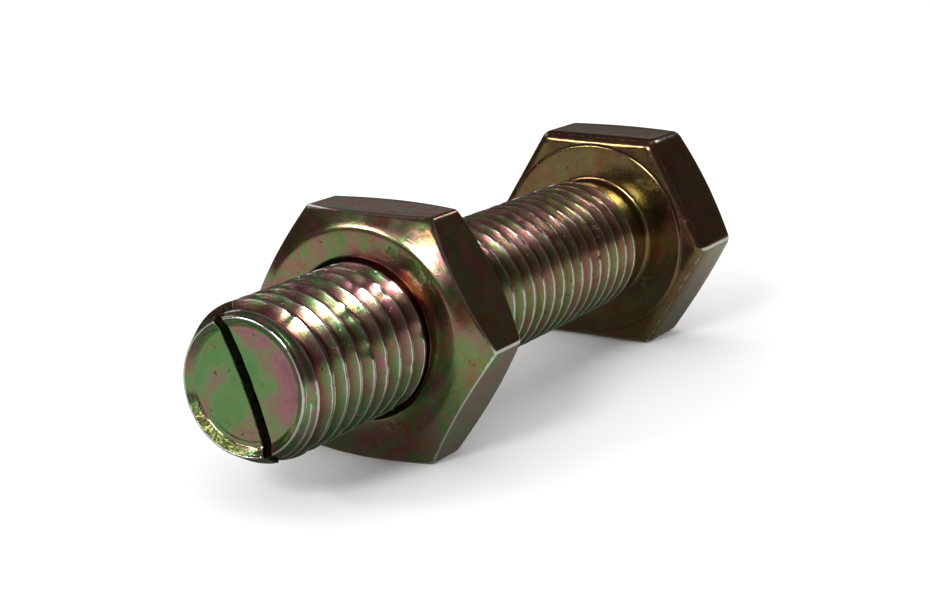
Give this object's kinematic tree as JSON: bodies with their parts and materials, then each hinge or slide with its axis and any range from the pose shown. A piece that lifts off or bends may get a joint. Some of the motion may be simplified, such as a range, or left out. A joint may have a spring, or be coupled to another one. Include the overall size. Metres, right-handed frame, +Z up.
{
  "type": "hexagon bolt with lock nut",
  "caption": "Hexagon head bolt threaded to the head, with a saw-cut screwdriver slot across its cup end and a thin hexagon lock nut on the thread.",
  "frame": {"origin": "centre of the bearing face under the head, on the thread's axis", "axes": "+X along the thread from the head to the slotted end, +Z up with the head and the nut lying on a flat"},
  "size_m": [0.0625, 0.022, 0.019],
  "materials": {
    "bolt_zinc": "iridescent yellow chromate over zinc, olive, green and magenta",
    "nut_zinc": "iridescent yellow chromate over zinc, green and mauve"
  },
  "bodies": {
    "bolt": {"bolt": "bolt_zinc"},
    "nut": {"nut": "nut_zinc"}
  },
  "joints": [
    {"name": "nut_travel", "type": "slide", "parent": "bolt", "child": "nut", "axis": [1, 0, 0], "range_m": [-0.028, 0.0245]}
  ]
}
